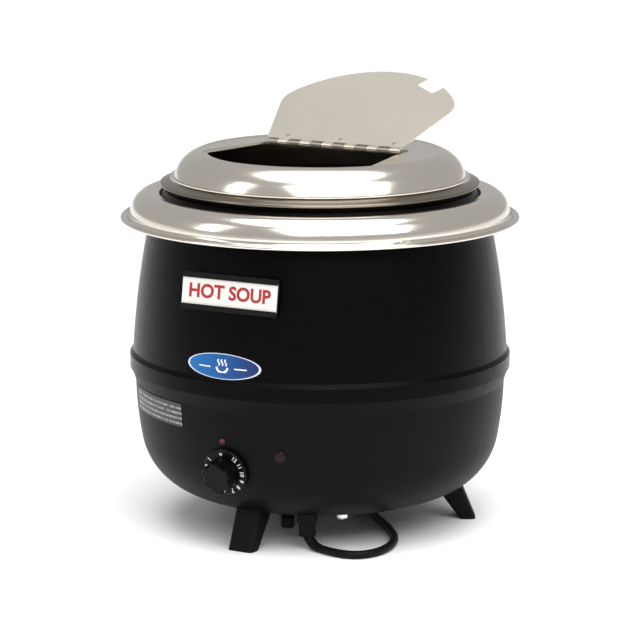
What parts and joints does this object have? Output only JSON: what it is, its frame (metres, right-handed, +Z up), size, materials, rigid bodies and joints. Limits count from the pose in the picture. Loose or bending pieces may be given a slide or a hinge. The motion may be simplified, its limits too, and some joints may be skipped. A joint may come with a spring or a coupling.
{
  "type": "soup kettle",
  "caption": "Electric soup kettle: black barrel-shaped shell on moulded feet, stainless rim, lift-out pot, lid with hinged flap, thermostat knob, card holder and mains cord",
  "frame": {"origin": "on the kettle's axis, in the plane that its feet stand on", "axes": "+Z up, -Y out of the front, where the knob and the card holder are, +X to the right of someone facing the front"},
  "size_m": [0.3555, 0.4078, 0.3792],
  "materials": {
    "stainless": "satin stainless steel, fine brushing",
    "polished_steel": "bright zinc or chrome plated steel",
    "black_enamel": "black enamel with a fine orange peel",
    "bowl_enamel": "black semi-gloss enamel",
    "galvanised": "plain galvanised steel",
    "black_plastic": "matt black moulded plastic",
    "knob_plastic": "glossy black phenolic",
    "lamp_red": "translucent red lamp lens",
    "card": "printed off-white card",
    "badge_blue": "glossy blue printed badge",
    "label_grey": "dark grey printed sticker",
    "rubber": "black cord rubber",
    "brass": "plain brass",
    "lead_insulation": "woven heat-proof lead covering"
  },
  "bodies": {
    "kettle_body": {"lower_bowl": "bowl_enamel", "upper_shell": "black_enamel", "rim_ring": "stainless", "rim_seal": "rubber", "water_well": "black_enamel", "tie_studs": "galvanised", "tie_nuts": "polished_steel", "thermostat_body": "black_plastic", "thermostat_nut": "polished_steel", "thermostat_bulb": "brass", "power_lamp_body": "black_plastic", "power_lamp_lens": "lamp_red", "pointer_lamp_body": "black_plastic", "pointer_lamp_lens": "lamp_red", "foot_front": "black_plastic", "foot_right": "black_plastic", "foot_left": "black_plastic", "foot_screws": "polished_steel", "heater_element": "galvanised", "heater_clamp": "galvanised", "heater_stud": "galvanised", "heater_nuts": "polished_steel", "heat_shield": "galvanised", "terminal_block": "black_plastic", "earth_stud": "brass", "cutout_body": "black_plastic", "cutout_nut": "black_plastic", "strain_relief": "black_plastic", "power_cord": "rubber", "cord_coil": "rubber", "coil_tie": "black_plastic", "cord_tail": "rubber", "plug_body": "rubber", "plug_pins": "polished_steel", "internal_leads": "lead_insulation", "card_holder": "black_plastic", "card_rivets": "polished_steel", "oval_badge": "badge_blue", "caution_label": "label_grey"},
    "knob": {"control_knob": "knob_plastic", "thermostat_spindle": "brass"},
    "pot": {"soup_pot": "stainless"},
    "lid": {"lid_shell": "stainless", "lid_locating_ring": "stainless", "hinge_fixed_leaf": "stainless", "hinge_pin": "stainless"},
    "flap": {"flap": "stainless", "hinge_moving_leaf": "stainless"},
    "reset": {"reset_button": "rubber"},
    "card": {"menu_card": "card"}
  },
  "joints": [
    {"name": "pot_lift", "type": "slide", "parent": "kettle_body", "child": "pot", "axis": [0, 0, 1], "range_m": [0, 0.22]},
    {"name": "lid_lift", "type": "slide", "parent": "pot", "child": "lid", "axis": [0, 0, 1], "range_m": [0, 0.06]},
    {"name": "flap_hinge", "type": "hinge", "parent": "lid", "child": "flap", "pos_m": [0, 0.022, 0.3262], "axis": [1, 0, 0], "range_deg": [-24.5, 155]},
    {"name": "knob_turn", "type": "hinge", "parent": "kettle_body", "child": "knob", "pos_m": [0, -0.15506, 0.07465], "axis": [0, 0.9781, 0.2079], "range_deg": [0, 300]},
    {"name": "reset_press", "type": "slide", "parent": "kettle_body", "child": "reset", "axis": [0, 0, 1], "range_m": [0, 0.002], "stiffness_N_per_m": 900, "springref_m": -0.002},
    {"name": "card_slide", "type": "slide", "parent": "kettle_body", "child": "card", "axis": [0.9997, 0.0262, 0], "range_m": [-0.095, 0.095]}
  ]
}
